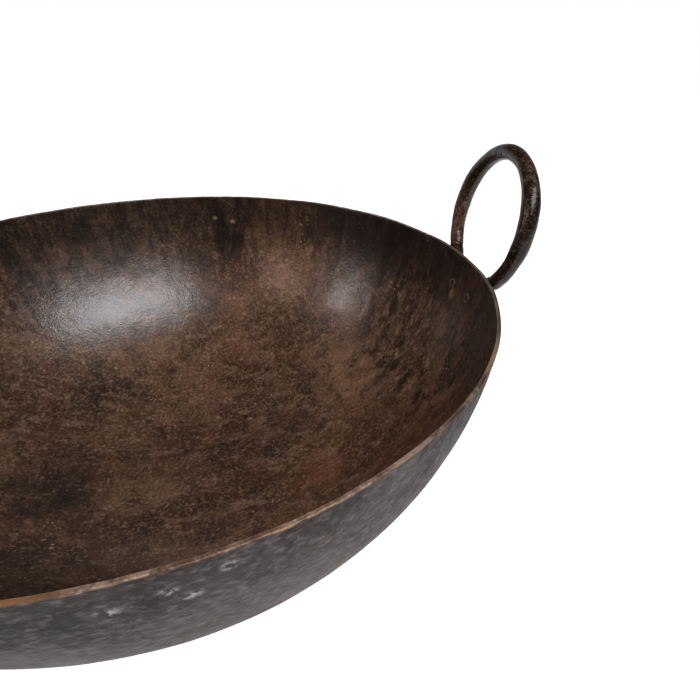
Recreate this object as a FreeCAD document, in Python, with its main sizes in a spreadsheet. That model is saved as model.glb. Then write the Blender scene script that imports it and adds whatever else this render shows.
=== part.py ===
import FreeCAD, Part
import os
import Sketcher
from FreeCAD import Vector

# Iron kadai: a deep round bowl raised from one sheet of iron, with two loop handles.
# Each handle is one round bar bent to a loop. Its two ends are forged flat into tongues
# that lie on the outside of the wall, and one rivet holds each tongue.
# Frame: +Z up, origin at the centre of the flat spot that the bowl rests on, handles on X.
# Lengths are in millimetres and angles in degrees.

SIZES = [
    ("rim_radius", 250.0, "bowl, outside, at the rim"),
    ("bowl_height", 188.0, "from the flat spot to the rim"),
    ("base_radius", 50.0, "flat spot that the bowl rests on"),
    ("wall_thickness", 2.5, "sheet iron"),
    ("rim_lean", 5.7, "wall from upright at the rim"),
    ("knee_lean", 32.0, "wall from upright where the side passes into the bottom"),
    ("rim_rounding", 0.8, "worn edges of the rim"),
    ("bar_diameter", 12.0, "round bar of the handles"),
    ("loop_half_width", 53.5, "centre line of the loop, from its middle to its side"),
    ("loop_side_radius", 49.0, "centre line of the loop's sides"),
    ("shoulder_angle", 45.0, "where a side passes into the flatter top"),
    ("loop_rise", 33.0, "from the rim to the widest place of the loop"),
    ("handle_lean", 12.0, "loop from upright, outwards"),
    ("neck_width", 14.0, "forged bar where it runs into its tongue"),
    ("tongue_width", 22.0, "forged end of the bar"),
    ("tongue_thickness", 4.0, "forged end of the bar"),
    ("tongue_rounding", 1.2, "outer edge of the tongue"),
    ("rivet_drop", 26.0, "from the rim down to the rivets"),
    ("rivet_spacing", 31.6, "between the two rivets of a handle"),
    ("shank_diameter", 6.0, "rivet"),
    ("outer_head_diameter", 12.0, "domed head on the tongue"),
    ("outer_head_height", 3.6, "domed head on the tongue"),
    ("inner_head_diameter", 8.4, "peened head inside the bowl"),
    ("inner_head_height", 1.1, "peened head inside the bowl"),
    ("inner_head_rounding", 0.5, "worn edge of the peened head"),
    ("dish_diameter", 4.6, "hollow that the punch left in the peened head"),
    ("dish_depth", 0.7, "hollow that the punch left in the peened head"),
    ("seat_gap", 0.1, "between curved faces that lie on each other"),
    ("hole_clearance", 0.1, "between shank and hole, on the radius"),
]

# Values that follow from the sizes, each an expression.
# The wall's outline is two arcs: the side, from rim_lean to knee_lean, and the bottom,
# from knee_lean to the flat spot. Their radii come from the span and height they cover.
SPAN = "(Sizes.rim_radius - Sizes.base_radius)"
SIDE_RUN = "(cos(Sizes.rim_lean) - cos(Sizes.knee_lean))"
SIDE_FALL = "(sin(Sizes.knee_lean) - sin(Sizes.rim_lean))"
BOTTOM_FALL = "(1 - sin(Sizes.knee_lean))"
CROSS = f"({SIDE_RUN} * {BOTTOM_FALL} - cos(Sizes.knee_lean) * {SIDE_FALL})"
LAYOUT = [
    ("side_arc", f"({SPAN} * {BOTTOM_FALL} - Sizes.bowl_height * cos(Sizes.knee_lean)) / {CROSS}"),
    ("bottom_arc", f"({SIDE_RUN} * Sizes.bowl_height - {SIDE_FALL} * {SPAN}) / {CROSS}"),
    ("side_centre_x", "Sizes.rim_radius - Layout.side_arc * cos(Sizes.rim_lean)"),
    ("side_centre_z", "Sizes.bowl_height + Layout.side_arc * sin(Sizes.rim_lean)"),
    ("rivet_lean", "asin(sin(Sizes.rim_lean) + Sizes.rivet_drop / Layout.side_arc)"),
    ("rivet_wall_radius", "Layout.side_centre_x + Layout.side_arc * cos(Layout.rivet_lean)"),
    ("rivet_turn", "asin(Sizes.rivet_spacing / 2 / Layout.rivet_wall_radius)"),
    ("side_offset", "Sizes.loop_half_width - Sizes.loop_side_radius"),
    ("top_arc", "Sizes.loop_side_radius + Layout.side_offset / cos(Sizes.shoulder_angle)"),
    ("top_centre", "Sizes.loop_rise - Layout.side_offset * tan(Sizes.shoulder_angle)"),
    ("foot_fall", "Sizes.rivet_drop / cos(Sizes.handle_lean)"),
    ("foot_run", "Sizes.loop_half_width - Sizes.rivet_spacing / 2"),
    ("foot_reach", "Sizes.loop_rise + Layout.foot_fall"),
    ("foot_arcs", "(Layout.foot_run ^ 2 + Layout.foot_reach ^ 2) / (2 * Layout.foot_run)"),
    ("bend_radius", "Layout.foot_arcs - Sizes.loop_side_radius"),
    ("foot_turn", "asin(Layout.foot_reach / Layout.foot_arcs)"),
    ("rim_turn", "asin(Sizes.loop_rise / Sizes.loop_side_radius)"),
    ("leg_offset", "Layout.side_offset + Sizes.loop_side_radius * cos(Layout.rim_turn)"),
    ("leg_wall_turn", "asin(Layout.leg_offset / Sizes.rim_radius)"),
    ("bar_stand_off", "(Sizes.bar_diameter / 2 + Sizes.seat_gap) / cos(Layout.leg_wall_turn)"
                      " / cos(Sizes.rim_lean)"),
    ("loop_plane_x", "Sizes.rim_radius * cos(Layout.leg_wall_turn) + Layout.bar_stand_off"),
    ("leg_on_arc", "pi / 180 * (Layout.foot_turn - Layout.rim_turn) * Sizes.loop_side_radius"),
    ("leg_length", "Layout.leg_on_arc + pi / 180 * Layout.foot_turn * Layout.bend_radius"),
    ("tongue_middle", "Sizes.seat_gap + Sizes.tongue_thickness / 2"),
]

RIM, BASE = "Sizes.bowl_height", "Sizes.base_radius"
DOWN, UP, HALF_TURN = -90, 90, 180
HANDLES = {"right": 0, "left": HALF_TURN}
RIVETS = {"back": 1, "front": -1}
# How far the cuts for the rivets and for the wall's place in a handle reach past the metal.
HOLE_REACH, TRIM_REACH = 40.0, 30.0
# The leg runs from the rim to the rivet in this many equal steps, and its neck ends inside
# the tongue at this share of the tongue's thickness.
LEG_STEPS = 7
NECK_SHARE = 0.85
# Places nearer to each other than this are the same place.
TOUCHING = 0.01


def vector(x, y, z):
    """Expression for a vector."""
    return f"create(<<vector>>; {x}; {y}; {z})"


def turn(x, y, z, angle):
    """Expression for a rotation by an angle about an axis."""
    return f"create(<<rotation>>; {vector(x, y, z)}; {angle})"


def placed(position, rotation):
    """Expression for a placement."""
    return f"create(<<placement>>; {position}; {rotation})"


def turned(x, y, z, angle):
    """Expression for a placement that only turns about an axis through the origin."""
    return placed(vector(0, 0, 0), turn(x, y, z, angle))


# Frame of a loop: x is its normal, outwards, y runs along the rim and z up the loop.
LOOP_FRAME = placed(vector("Layout.loop_plane_x", 0, RIM), turn(0, 1, 0, "Sizes.handle_lean"))


def rivet_frame(side, handle_turn=0):
    """Frame on the outside of the wall, with x along the rivet, outwards, and z up the wall."""
    around = turned(0, 0, 1, f"{handle_turn} + {side} * Layout.rivet_turn")
    place = vector("Layout.rivet_wall_radius", 0, f"{RIM} - Sizes.rivet_drop")
    return f"{around} * {placed(place, turn(0, 1, 0, 'Layout.rivet_lean'))}"


class Drawing:
    """A sketch whose dimensions are bound to expressions."""

    def __init__(self, body, name, plane="XY_Plane", offset=None):
        self.sketch = body.newObject("Sketcher::SketchObject", name)
        origin = next(o for o in body.Origin.OriginFeatures if o.Role == plane)
        self.sketch.AttachmentSupport = [(origin, "")]
        self.sketch.MapMode = "FlatFace"
        if offset:
            self.sketch.setExpression("AttachmentOffset", offset)

    def value(self, expression):
        """Present value of an expression."""
        return float(self.sketch.evalExpression(str(expression)))

    def point(self, x, y):
        """Point in the sketch from two expressions."""
        return Vector(self.value(x), self.value(y), 0)

    def line(self, start, end):
        """Line between two points, each a pair of expressions."""
        return self.sketch.addGeometry(Part.LineSegment(self.point(*start), self.point(*end)))

    def arc(self, centre, radius, start, end):
        """Arc about a centre, counter-clockwise between two angles."""
        circle = Part.Circle(self.point(*centre), Vector(0, 0, 1), self.value(radius))
        first, last = (FreeCAD.Units.Quantity(self.value(a), "deg") for a in (start, end))
        arc = Part.ArcOfCircle(circle, first.getValueAs("rad"), last.getValueAs("rad"))
        return self.sketch.addGeometry(arc)

    def fix(self, kind, *where):
        """Geometric constraint."""
        self.sketch.addConstraint(Sketcher.Constraint(kind, *where))

    def size(self, kind, expression, *where):
        """Dimension bound to an expression."""
        index = self.sketch.addConstraint(Sketcher.Constraint(kind, *where, self.value(expression)))
        self.sketch.setExpression(f"Constraints[{index}]", expression)

    def place_point(self, geometry, end, x, y):
        """Fix a point of the drawing at two distances from its origin."""
        self.size("DistanceX", x, -1, 1, geometry, end)
        self.size("DistanceY", y, -1, 1, geometry, end)

    def circle(self, diameter):
        """Circle about the origin with a bound diameter."""
        shape = Part.Circle(Vector(0, 0, 0), Vector(0, 0, 1), self.value(diameter) / 2)
        index = self.sketch.addGeometry(shape)
        self.fix("Coincident", index, 3, -1, 1)
        self.size("Diameter", diameter, index)

    def ellipse(self, half_x, half_y):
        """Ellipse about the origin, longer along y, with bound half axes."""
        tip, side = self.point(0, half_y), self.point(half_x, 0)
        index = self.sketch.addGeometry(Part.Ellipse(tip, side, Vector(0, 0, 0)))
        self.sketch.exposeInternalGeometry(index)
        self.fix("Coincident", index, 3, -1, 1)
        self.fix("Vertical", index + 1)
        self.size("Distance", f"2 * ({half_y})", index + 1)
        self.size("Distance", f"2 * ({half_x})", index + 2)


def new_body(doc, label):
    """Empty body with its label, which is the piece's name."""
    body = doc.addObject("PartDesign::Body", label)
    body.Label = label
    return body


def feature(body, kind, name, **settings):
    """Add a feature to a body, with its properties."""
    made = body.newObject(f"PartDesign::{kind}", name)
    for key, setting in settings.items():
        setattr(made, key, setting)
    return made


def axis_of(drawing, axis="V_Axis"):
    """Axis of a sketch, as a reference for a turned feature."""
    return (drawing.sketch, [axis])


def edges_where(shape, test):
    """Names of the edges of a shape that pass a test."""
    return [f"Edge{n}" for n, edge in enumerate(shape.Edges, 1) if test(edge)]


def is_ring(edge, radius):
    """Whether an edge is a circle of about this radius."""
    round_edge = not edge.Degenerated and isinstance(edge.Curve, Part.Circle)
    return round_edge and abs(edge.Curve.Radius - radius) < TOUCHING


def checked_cut(body, cut):
    """Recompute, and stop if a cut left the body's surface as it was."""
    body.Document.recompute()
    before, after = cut.BaseFeature.Shape, cut.Shape
    if len(after.Faces) == len(before.Faces) and abs(after.Area - before.Area) < TOUCHING:
        raise ValueError(f"{cut.Label} of {body.Label} cuts nothing")


def draw_wall(body):
    """Half section of the wall, from the axis round the flat spot and the knee to the rim."""
    wall = Drawing(body, "wall_section", "XZ_Plane")
    thick, knee = "Sizes.wall_thickness", "-Sizes.knee_lean"
    side = ("Layout.side_centre_x", "Layout.side_centre_z")
    bottom = (BASE, "Layout.bottom_arc")
    inner_side = f"Layout.side_arc - {thick}"
    inner_rim = f"asin(({RIM} - {side[1]}) / ({inner_side}))"
    inner_x = f"{side[0]} + ({inner_side}) * cos({inner_rim})"
    floor_out = wall.line((0, 0), (BASE, 0))
    bottom_out = wall.arc(bottom, "Layout.bottom_arc", DOWN, knee)
    side_out = wall.arc(side, "Layout.side_arc", knee, "-Sizes.rim_lean")
    rim = wall.line(("Sizes.rim_radius", RIM), (inner_x, RIM))
    side_in = wall.arc(side, inner_side, knee, inner_rim)
    bottom_in = wall.arc(bottom, f"Layout.bottom_arc - {thick}", DOWN, knee)
    floor_in = wall.line((BASE, thick), (0, thick))
    middle = wall.line((0, thick), (0, 0))
    wall.fix("Coincident", floor_out, 1, -1, 1)
    wall.fix("Horizontal", floor_out)
    wall.fix("Tangent", floor_out, 2, bottom_out, 1)
    wall.fix("Tangent", bottom_out, 2, side_out, 1)
    wall.fix("Coincident", side_out, 2, rim, 1)
    wall.fix("Horizontal", rim)
    wall.fix("Coincident", rim, 2, side_in, 2)
    wall.fix("Tangent", side_in, 1, bottom_in, 2)
    wall.fix("Tangent", bottom_in, 1, floor_in, 1)
    wall.fix("Horizontal", floor_in)
    wall.fix("Coincident", floor_in, 2, middle, 1)
    wall.fix("Coincident", middle, 2, floor_out, 1)
    wall.fix("Vertical", middle)
    wall.fix("Coincident", side_in, 3, side_out, 3)
    wall.fix("Coincident", bottom_in, 3, bottom_out, 3)
    wall.size("DistanceX", BASE, -1, 1, floor_out, 2)
    wall.size("Radius", "Layout.bottom_arc", bottom_out)
    wall.size("Radius", "Layout.side_arc", side_out)
    wall.size("DistanceX", "Sizes.rim_radius", -1, 1, side_out, 2)
    wall.size("DistanceY", RIM, -1, 1, side_out, 2)
    wall.size("DistanceY", thick, -1, 1, middle, 1)
    return wall


def cut_rivet_hole(body, name, frame):
    """Round hole for a rivet, through whatever the body has at the rivet's place."""
    across = turned(0, 1, 0, 90)
    hole = Drawing(body, f"{name}_circle", offset=f"{frame} * {across}")
    hole.circle("Sizes.shank_diameter + 2 * Sizes.hole_clearance")
    pocket = feature(body, "Pocket", name, Profile=hole.sketch, Midplane=True, Length=HOLE_REACH)
    checked_cut(body, pocket)


def make_bowl(doc):
    """The bowl: one turned wall with a worn rim and four rivet holes."""
    body = new_body(doc, "bowl")
    wall = draw_wall(body)
    shell = feature(body, "Revolution", "wall", Profile=wall.sketch,
                    ReferenceAxis=axis_of(wall), Angle=360)
    doc.recompute()
    rim_level = wall.value(RIM)
    rim = edges_where(shell.Shape, lambda e: abs(e.BoundBox.ZMin - rim_level) < TOUCHING)
    rounding = feature(body, "Fillet", "worn_rim", Base=(shell, rim))
    rounding.setExpression("Radius", "Sizes.rim_rounding")
    doc.recompute()
    for handle, handle_turn in HANDLES.items():
        for place, side in RIVETS.items():
            cut_rivet_hole(body, f"hole_{handle}_{place}", rivet_frame(side, handle_turn))
    return body


def bend_bar(body):
    """Half of the loop's round bar, from its top to the rim."""
    in_loop_plane = turned(1, 1, 1, 120)
    path = Drawing(body, "loop_line", offset=f"{LOOP_FRAME} * {in_loop_plane}")
    top = path.arc((0, "Layout.top_centre"), "Layout.top_arc", "Sizes.shoulder_angle", UP)
    side = path.arc(("Layout.side_offset", "Sizes.loop_rise"), "Sizes.loop_side_radius",
                    "-Layout.rim_turn", "Sizes.shoulder_angle")
    path.fix("Tangent", top, 1, side, 2)
    path.fix("PointOnObject", top, 3, -2)
    path.fix("PointOnObject", top, 2, -2)
    path.fix("PointOnObject", side, 1, -1)
    path.size("Radius", "Layout.top_arc", top)
    path.size("Radius", "Sizes.loop_side_radius", side)
    path.place_point(side, 3, "Layout.side_offset", "Sizes.loop_rise")
    top_of_loop = vector(0, 0, "Layout.top_centre + Layout.top_arc")
    section = Drawing(body, "bar_section",
                      offset=f"{LOOP_FRAME} * {placed(top_of_loop, turn(1, 0, 0, 90))}")
    section.circle("Sizes.bar_diameter")
    feature(body, "AdditivePipe", "loop_bar", Profile=section.sketch, Spine=(path.sketch, []))


def leg_place(run):
    """Place on the leg's centre line at a run from the rim: y and z in the loop, and its turn."""
    arc, bend, foot = "Sizes.loop_side_radius", "Layout.bend_radius", "Layout.foot_turn"
    arc_turn = f"(Layout.rim_turn + 180 / pi * min({run}; Layout.leg_on_arc) / {arc})"
    bend_turn = f"({foot} - 180 / pi * max({run} - Layout.leg_on_arc; 0) / {bend})"
    y = (f"Layout.side_offset + {arc} * cos({arc_turn})"
         f" + {bend} * (cos({foot}) - cos({bend_turn}))")
    z = (f"Sizes.loop_rise - {arc} * sin({arc_turn})"
         f" + {bend} * (sin({bend_turn}) - sin({foot}))")
    return y, z, f"({arc_turn} + {bend_turn} - {foot})"


def leg_sections():
    """Frames of the leg's sections, with the share of the forging that is done at each.

    They lie evenly on the centre line from the rim, and the last one in its tongue's frame.
    """
    rows = []
    for step in range(LEG_STEPS):
        done = step / LEG_STEPS
        y, z, lean = leg_place(f"{done} * Layout.leg_length")
        frame = f"{LOOP_FRAME} * {placed(vector(0, y, z), turn(1, 0, 0, f'-{lean}'))}"
        rows.append((frame, done * done * (3 - 2 * done)))
    in_tongue = placed(vector("Layout.tongue_middle", 0, 0), turn(0, 0, 1, 0))
    rows.append((f"{rivet_frame(1)} * {in_tongue}", 1))
    return rows


def forge_leg(body):
    """Leg below the rim: the round bar is drawn down to a flat tongue as it bends to the rivet."""
    bar = "Sizes.bar_diameter / 2"
    half_width = "Sizes.neck_width / 2"
    half_thickness = f"Sizes.tongue_thickness / 2 * {NECK_SHARE}"
    drawings = []
    for index, (frame, forged) in enumerate(leg_sections()):
        section = Drawing(body, f"leg_section_{index}", offset=frame)
        if forged:
            section.ellipse(f"{bar} + {forged} * ({half_thickness} - {bar})",
                            f"{bar} + {forged} * ({half_width} - {bar})")
        else:
            section.circle("Sizes.bar_diameter")
        drawings.append(section.sketch)
    feature(body, "AdditiveLoft", "leg", Profile=drawings[0], Sections=drawings[1:])


def forge_tongue(body):
    """Round flat end of the bar, about the rivet, with its outer edge worn."""
    outer_face = placed(vector("Sizes.seat_gap + Sizes.tongue_thickness", 0, 0),
                        turn(0, 1, 0, -90))
    face = Drawing(body, "tongue_outline", offset=f"{rivet_frame(1)} * {outer_face}")
    face.circle("Sizes.tongue_width")
    pad = feature(body, "Pad", "tongue", Profile=face.sketch)
    pad.setExpression("Length", "2 * Sizes.tongue_thickness")
    body.Document.recompute()
    outward = face.sketch.Placement.Base
    edge = edges_where(pad.Shape, lambda e: is_ring(e, face.value("Sizes.tongue_width / 2"))
                       and e.Curve.Center.distanceToPoint(outward) < TOUCHING)
    rounding = feature(body, "Fillet", "tongue_edge", Base=(pad, edge))
    rounding.setExpression("Radius", "Sizes.tongue_rounding")


def trim_to_wall(body):
    """Take off what lies nearer to the axis than the wall's outside and its seat gap."""
    trim = Drawing(body, "wall_outline", "XZ_Plane")
    centre = ("Layout.side_centre_x", "Layout.side_centre_z")
    radius = "(Layout.side_arc + Sizes.seat_gap)"
    low = f"({RIM} - Sizes.rivet_drop - Sizes.tongue_width)"
    low_turn = f"asin(({low} - {centre[1]}) / {radius})"
    high_turn = f"asin(({RIM} - {centre[1]}) / {radius})"
    low_x = f"{centre[0]} + {radius} * cos({low_turn})"
    high_x = f"{centre[0]} + {radius} * cos({high_turn})"
    inside = f"Sizes.rim_radius - {TRIM_REACH}"
    wall = trim.arc(centre, radius, low_turn, high_turn)
    above = trim.line((high_x, RIM), (inside, RIM))
    behind = trim.line((inside, RIM), (inside, low))
    below = trim.line((inside, low), (low_x, low))
    trim.fix("Coincident", wall, 2, above, 1)
    trim.fix("Coincident", above, 2, behind, 1)
    trim.fix("Coincident", behind, 2, below, 1)
    trim.fix("Coincident", below, 2, wall, 1)
    trim.fix("Horizontal", above)
    trim.fix("Vertical", behind)
    trim.fix("Horizontal", below)
    trim.place_point(wall, 3, *centre)
    trim.size("Radius", radius, wall)
    trim.place_point(above, 2, inside, RIM)
    trim.size("DistanceY", low, -1, 1, below, 1)
    groove = feature(body, "Groove", "wall_seat", Profile=trim.sketch,
                     ReferenceAxis=axis_of(trim), Angle=360)
    checked_cut(body, groove)


def make_handle(doc, name, handle_turn):
    """A handle: half of its bar with one leg and tongue, mirrored to the other side."""
    body = new_body(doc, name)
    forge_tongue(body)
    forge_leg(body)
    bend_bar(body)
    doc.recompute()
    trim_to_wall(body)
    cut_rivet_hole(body, "rivet_hole", rivet_frame(1))
    middle = next(o for o in body.Origin.OriginFeatures if o.Role == "XZ_Plane")
    half = body.Tip
    whole = feature(body, "Mirrored", "both_sides", MirrorPlane=(middle, [""]))
    whole.TransformMode = "Whole shape"
    body.Tip = whole
    doc.recompute()
    if not whole.Shape.Volume > half.Shape.Volume:
        raise ValueError(f"{name} was not mirrored")
    body.setExpression("Placement", turned(0, 0, 1, handle_turn))
    return body


def make_rivet(doc, name, frame):
    """A rivet: domed head on the tongue, shank, and peened head with a punched hollow inside."""
    body = new_body(doc, name)
    half = Drawing(body, "rivet_section")
    outer_seat = "(Sizes.seat_gap + Sizes.tongue_thickness)"
    inner_seat = "(-Sizes.wall_thickness - Sizes.seat_gap)"
    inner_face = f"({inner_seat} - Sizes.inner_head_height)"
    outer, inner = "Sizes.outer_head_diameter / 2", "Sizes.inner_head_diameter / 2"
    shank, dish = "Sizes.shank_diameter / 2", "Sizes.dish_diameter / 2"
    dome = f"(({outer}) ^ 2 + Sizes.outer_head_height ^ 2) / (2 * Sizes.outer_head_height)"
    dome_centre = f"{outer_seat} + Sizes.outer_head_height - {dome}"
    hollow = f"(({dish}) ^ 2 + Sizes.dish_depth ^ 2) / (2 * Sizes.dish_depth)"
    hollow_centre = f"{inner_face} + Sizes.dish_depth - {hollow}"
    dome_edge = f"asin(({outer}) / ({dome}))"
    hollow_edge = f"asin(({dish}) / ({hollow}))"
    top = half.arc((dome_centre, 0), dome, 0, dome_edge)
    outer_face = half.line((outer_seat, outer), (outer_seat, shank))
    barrel = half.line((outer_seat, shank), (inner_seat, shank))
    inner_back = half.line((inner_seat, shank), (inner_seat, inner))
    rim = half.line((inner_seat, inner), (inner_face, inner))
    land = half.line((inner_face, inner), (inner_face, dish))
    punch = half.arc((hollow_centre, 0), hollow, 0, hollow_edge)
    middle = half.line((f"{inner_face} + Sizes.dish_depth", 0),
                       (f"{outer_seat} + Sizes.outer_head_height", 0))
    half.fix("Coincident", top, 2, outer_face, 1)
    half.fix("Coincident", outer_face, 2, barrel, 1)
    half.fix("Coincident", barrel, 2, inner_back, 1)
    half.fix("Coincident", inner_back, 2, rim, 1)
    half.fix("Coincident", rim, 2, land, 1)
    half.fix("Coincident", land, 2, punch, 2)
    half.fix("Coincident", punch, 1, middle, 1)
    half.fix("Coincident", middle, 2, top, 1)
    half.fix("Vertical", outer_face)
    half.fix("Horizontal", barrel)
    half.fix("Vertical", inner_back)
    half.fix("Horizontal", rim)
    half.fix("Vertical", land)
    half.fix("Horizontal", middle)
    half.fix("PointOnObject", middle, 1, -1)
    half.fix("PointOnObject", top, 3, -1)
    half.fix("PointOnObject", punch, 3, -1)
    half.place_point(outer_face, 1, outer_seat, outer)
    half.place_point(inner_back, 1, inner_seat, shank)
    half.place_point(land, 1, inner_face, inner)
    half.size("DistanceY", dish, -1, 1, land, 2)
    half.size("DistanceX", f"{inner_face} + Sizes.dish_depth", -1, 1, middle, 1)
    half.size("DistanceX", f"{outer_seat} + Sizes.outer_head_height", -1, 1, middle, 2)
    turned = feature(body, "Revolution", "turned", Profile=half.sketch,
                     ReferenceAxis=axis_of(half, "H_Axis"), Angle=360)
    doc.recompute()
    inner_radius, worn_x = half.value(inner), half.value(inner_face)
    edge = edges_where(turned.Shape, lambda e: is_ring(e, inner_radius)
                       and abs(e.Curve.Center.x - worn_x) < TOUCHING)
    worn = feature(body, "Fillet", "worn_edge", Base=(turned, edge))
    worn.setExpression("Radius", "Sizes.inner_head_rounding")
    body.setExpression("Placement", frame)
    return body


def make_sheet(doc):
    """Spreadsheet of the sizes and the values that follow from them."""
    sheet = doc.addObject("Spreadsheet::Sheet", "Sizes")
    for row, (name, size, note) in enumerate(SIZES, 1):
        sheet.set(f"A{row}", name)
        sheet.set(f"B{row}", str(size))
        sheet.set(f"C{row}", note)
        sheet.setAlias(f"B{row}", name)
    doc.recompute()
    layout = doc.addObject("App::VarSet", "Layout")
    for name, expression in LAYOUT:
        layout.addProperty("App::PropertyFloat", name, "Layout", "follows from the sizes")
        layout.setExpression(name, expression)
        doc.recompute()


def check_document(doc, pieces):
    """Stop if an object failed or a piece has no sound solid."""
    failed = [o.Label for o in doc.Objects if {"Invalid", "Error"} & set(o.State)]
    if failed:
        raise ValueError(f"failed objects: {failed}")
    for piece in pieces:
        if piece.Shape.isNull() or not piece.Shape.isValid() or len(piece.Shape.Solids) != 1:
            raise ValueError(f"{piece.Label} is not one sound solid")


def main():
    """Build the document and write each piece to its own file."""
    doc = FreeCAD.newDocument("kadai")
    make_sheet(doc)
    pieces = [make_bowl(doc)]
    for handle, handle_turn in HANDLES.items():
        pieces.append(make_handle(doc, f"handle_{handle}", handle_turn))
        for place, side in RIVETS.items():
            pieces.append(make_rivet(doc, f"rivet_{handle}_{place}", rivet_frame(side, handle_turn)))
    doc.recompute()
    check_document(doc, pieces)
    os.makedirs("parts", exist_ok=True)
    for piece in pieces:
        piece.Shape.exportStep(f"parts/{piece.Label}.step")


main()
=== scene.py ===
"""Iron kadai, dressed and lit for a studio picture.

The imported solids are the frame. The wall of the bowl, the two loop handles and the rivets are
made again as finer meshes, with the marks of the hammer and of long use, and stand for their
solids. Lengths are in metres, names that end in _mm are in millimetres and _deg in degrees.
"""

import logging
import math
from abc import ABC, abstractmethod
from dataclasses import dataclass
from enum import Enum

import bmesh
import bpy
from mathutils import Matrix, Vector


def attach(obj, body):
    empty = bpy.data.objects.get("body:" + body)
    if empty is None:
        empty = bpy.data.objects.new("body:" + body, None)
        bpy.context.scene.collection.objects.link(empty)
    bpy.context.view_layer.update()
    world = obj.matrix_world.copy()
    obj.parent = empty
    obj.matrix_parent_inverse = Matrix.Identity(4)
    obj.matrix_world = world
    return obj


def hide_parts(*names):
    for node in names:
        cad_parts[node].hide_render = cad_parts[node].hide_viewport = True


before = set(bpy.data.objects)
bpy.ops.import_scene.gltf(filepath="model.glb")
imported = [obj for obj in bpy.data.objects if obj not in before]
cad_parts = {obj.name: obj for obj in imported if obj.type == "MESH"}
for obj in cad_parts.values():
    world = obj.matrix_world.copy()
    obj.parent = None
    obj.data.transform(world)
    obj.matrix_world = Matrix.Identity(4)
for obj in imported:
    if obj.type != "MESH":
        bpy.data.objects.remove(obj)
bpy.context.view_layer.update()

BODY = "root"
MM = 0.001
SAME_PLACE = 0.001 * MM
LOG = logging.getLogger("kadai")

Node = bpy.types.Node
Socket = bpy.types.NodeSocket
Tree = bpy.types.NodeTree
Link = Node | Socket
Setting = float | int | bool | str | tuple[float, ...] | Link | bpy.types.ID


def linear(hex_colour: str) -> tuple[float, float, float, float]:
    """Turn an sRGB hex value into a linear colour.

    Args:
        hex_colour: Six hex digits after a hash.

    Returns:
        Red, green, blue and an alpha of one.
    """
    shares = [int(hex_colour[i:i + 2], 16) / 255 for i in (1, 3, 5)]
    return (*(s / 12.92 if s <= 0.04045 else ((s + 0.055) / 1.055) ** 2.4 for s in shares), 1.0)


def add_node(tree: Tree, kind: str, inputs: dict[int | str, Setting] | None = None,
             **settings: Setting) -> Node:
    """Add a node with its settings and its links.

    Args:
        tree: Tree that gets the node.
        kind: Blender's name for the kind of node.
        inputs: Value, socket or node for each input, by its name or number. A node gives its
            first output.
        **settings: Properties of the node.

    Returns:
        The new node.
    """
    node = tree.nodes.new(kind)
    for name, setting in settings.items():
        setattr(node, name, setting)
    for key, value in (inputs or {}).items():
        if isinstance(value, Node):
            value = value.outputs[0]
        if isinstance(value, Socket):
            tree.links.new(value, node.inputs[key])
        else:
            node.inputs[key].default_value = value
    return node


def smoothstep(low: float, high: float, value: float) -> float:
    """Ease a value from 0 at the low mark to 1 at the high one."""
    share = min(max((value - low) / (high - low), 0.0), 1.0)
    return share * share * (3 - 2 * share)


# Patterns: what is drawn in the colour, the gloss and the relief of the iron.


class Flow(Enum):
    """Way in which a pattern is drawn out over the wall of the bowl."""

    EVEN = "as wide as long"
    SWEPT = "in slanting sweeps"
    ROUND = "along the rim"
    DOWN = "down the wall"


@dataclass(frozen=True)
class Ground:
    """Coordinates that the patterns of one material are drawn on.

    Attributes:
        tree: Node tree of the material.
        place: Object coordinates in millimetres.
        polar: Way round the bowl, on a circle, and way along its section, in millimetres.
        height: Height above the flat spot in millimetres.
    """

    tree: Tree
    place: Link
    polar: Link
    height: Link

    AROUND_MM = 200.0
    CENTRE_HEIGHT_MM = 210.0
    SECTION_MM = 215.0

    @classmethod
    def on(cls, tree: Tree) -> "Ground":
        """Add the nodes that give the coordinates.

        Args:
            tree: Node tree of the material.

        Returns:
            The coordinates.
        """
        source = add_node(tree, "ShaderNodeTexCoord").outputs["Object"]
        place = add_node(tree, "ShaderNodeVectorMath", {0: source, 3: 1 / MM}, operation="SCALE")
        parts = add_node(tree, "ShaderNodeSeparateXYZ", {0: place})
        flat = add_node(tree, "ShaderNodeCombineXYZ", {0: parts, 1: parts.outputs[1]})
        away = add_node(tree, "ShaderNodeVectorMath", {0: flat}, operation="LENGTH")
        unit = add_node(tree, "ShaderNodeVectorMath", {0: flat}, operation="NORMALIZE")
        around = add_node(tree, "ShaderNodeVectorMath", {
            0: unit, 3: cls.AROUND_MM}, operation="SCALE")
        below = add_node(tree, "ShaderNodeMath", {
            0: cls.CENTRE_HEIGHT_MM, 1: parts.outputs[2]}, operation="SUBTRACT")
        angle = add_node(tree, "ShaderNodeMath", {
            0: away.outputs["Value"], 1: below}, operation="ARCTAN2")
        along = add_node(tree, "ShaderNodeMath", {
            0: angle, 1: cls.SECTION_MM}, operation="MULTIPLY")
        upright = add_node(tree, "ShaderNodeCombineXYZ", {2: along})
        polar = add_node(tree, "ShaderNodeVectorMath", {0: around, 1: upright}, operation="ADD")
        return cls(tree, place, polar, parts.outputs[2])


class Pattern(ABC):
    """Something that is drawn as a mask from 0 to 1."""

    @abstractmethod
    def mask(self, ground: Ground) -> Link:
        """Draw the pattern.

        Args:
            ground: Coordinates that it is drawn on.

        Returns:
            What gives the mask.
        """

    def __and__(self, other: "Pattern") -> "Both":
        """Show this pattern only within another."""
        return Both(self, other)


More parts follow.
